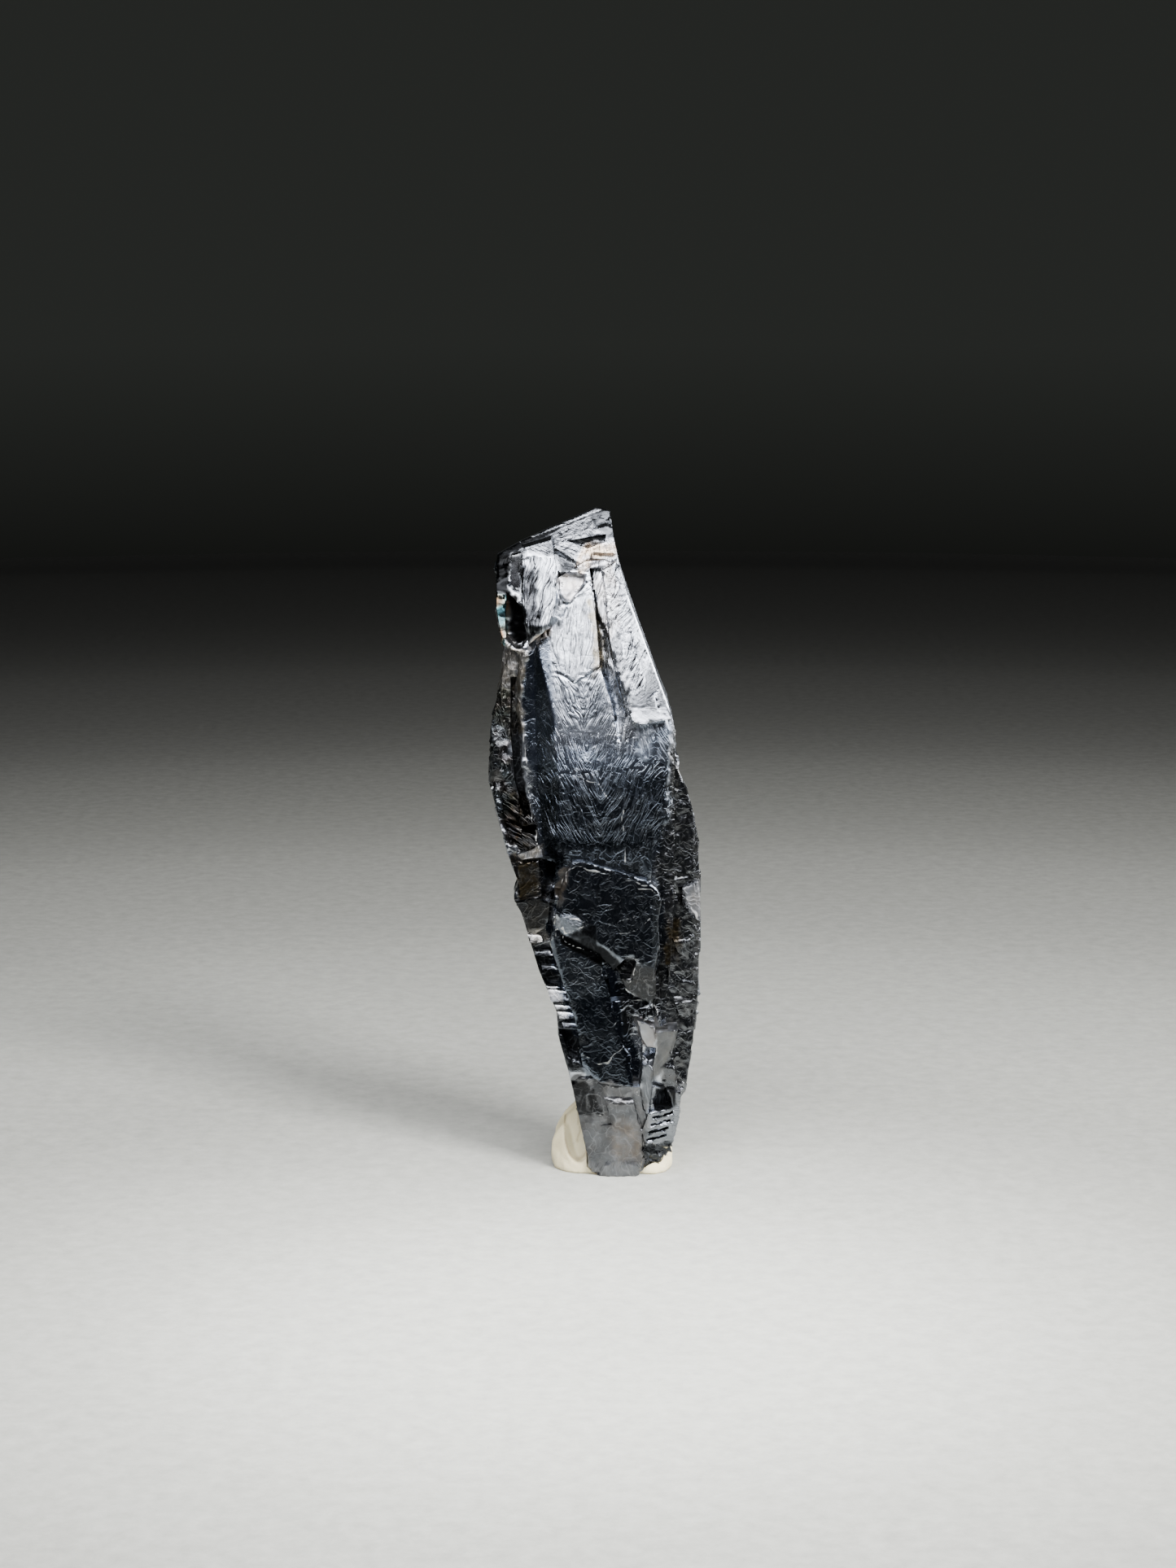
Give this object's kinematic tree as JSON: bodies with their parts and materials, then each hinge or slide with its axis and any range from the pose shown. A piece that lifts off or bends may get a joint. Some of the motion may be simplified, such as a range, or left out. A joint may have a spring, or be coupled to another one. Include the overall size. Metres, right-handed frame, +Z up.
{
  "type": "mineral specimen",
  "caption": "Elongated flattened spinel-twin galena crystal of stacked growth plates, standing on end in a pressed lump of mineral tack",
  "frame": {"origin": "bottom centre of the bounding box, on the surface that the specimen stands on", "axes": "+Z up along the crystal, -Y towards the viewer of its main face, +X to the right of that face"},
  "size_m": [0.016, 0.0122, 0.0493],
  "materials": {
    "galena": "bright metallic lead grey, frosted in places, mirror-smooth on cleavage faces",
    "tack": "matt warm-white putty with pressed marks"
  },
  "bodies": {
    "root": {"galena_crystal": "galena", "mineral_tack": "tack"}
  },
  "joints": []
}
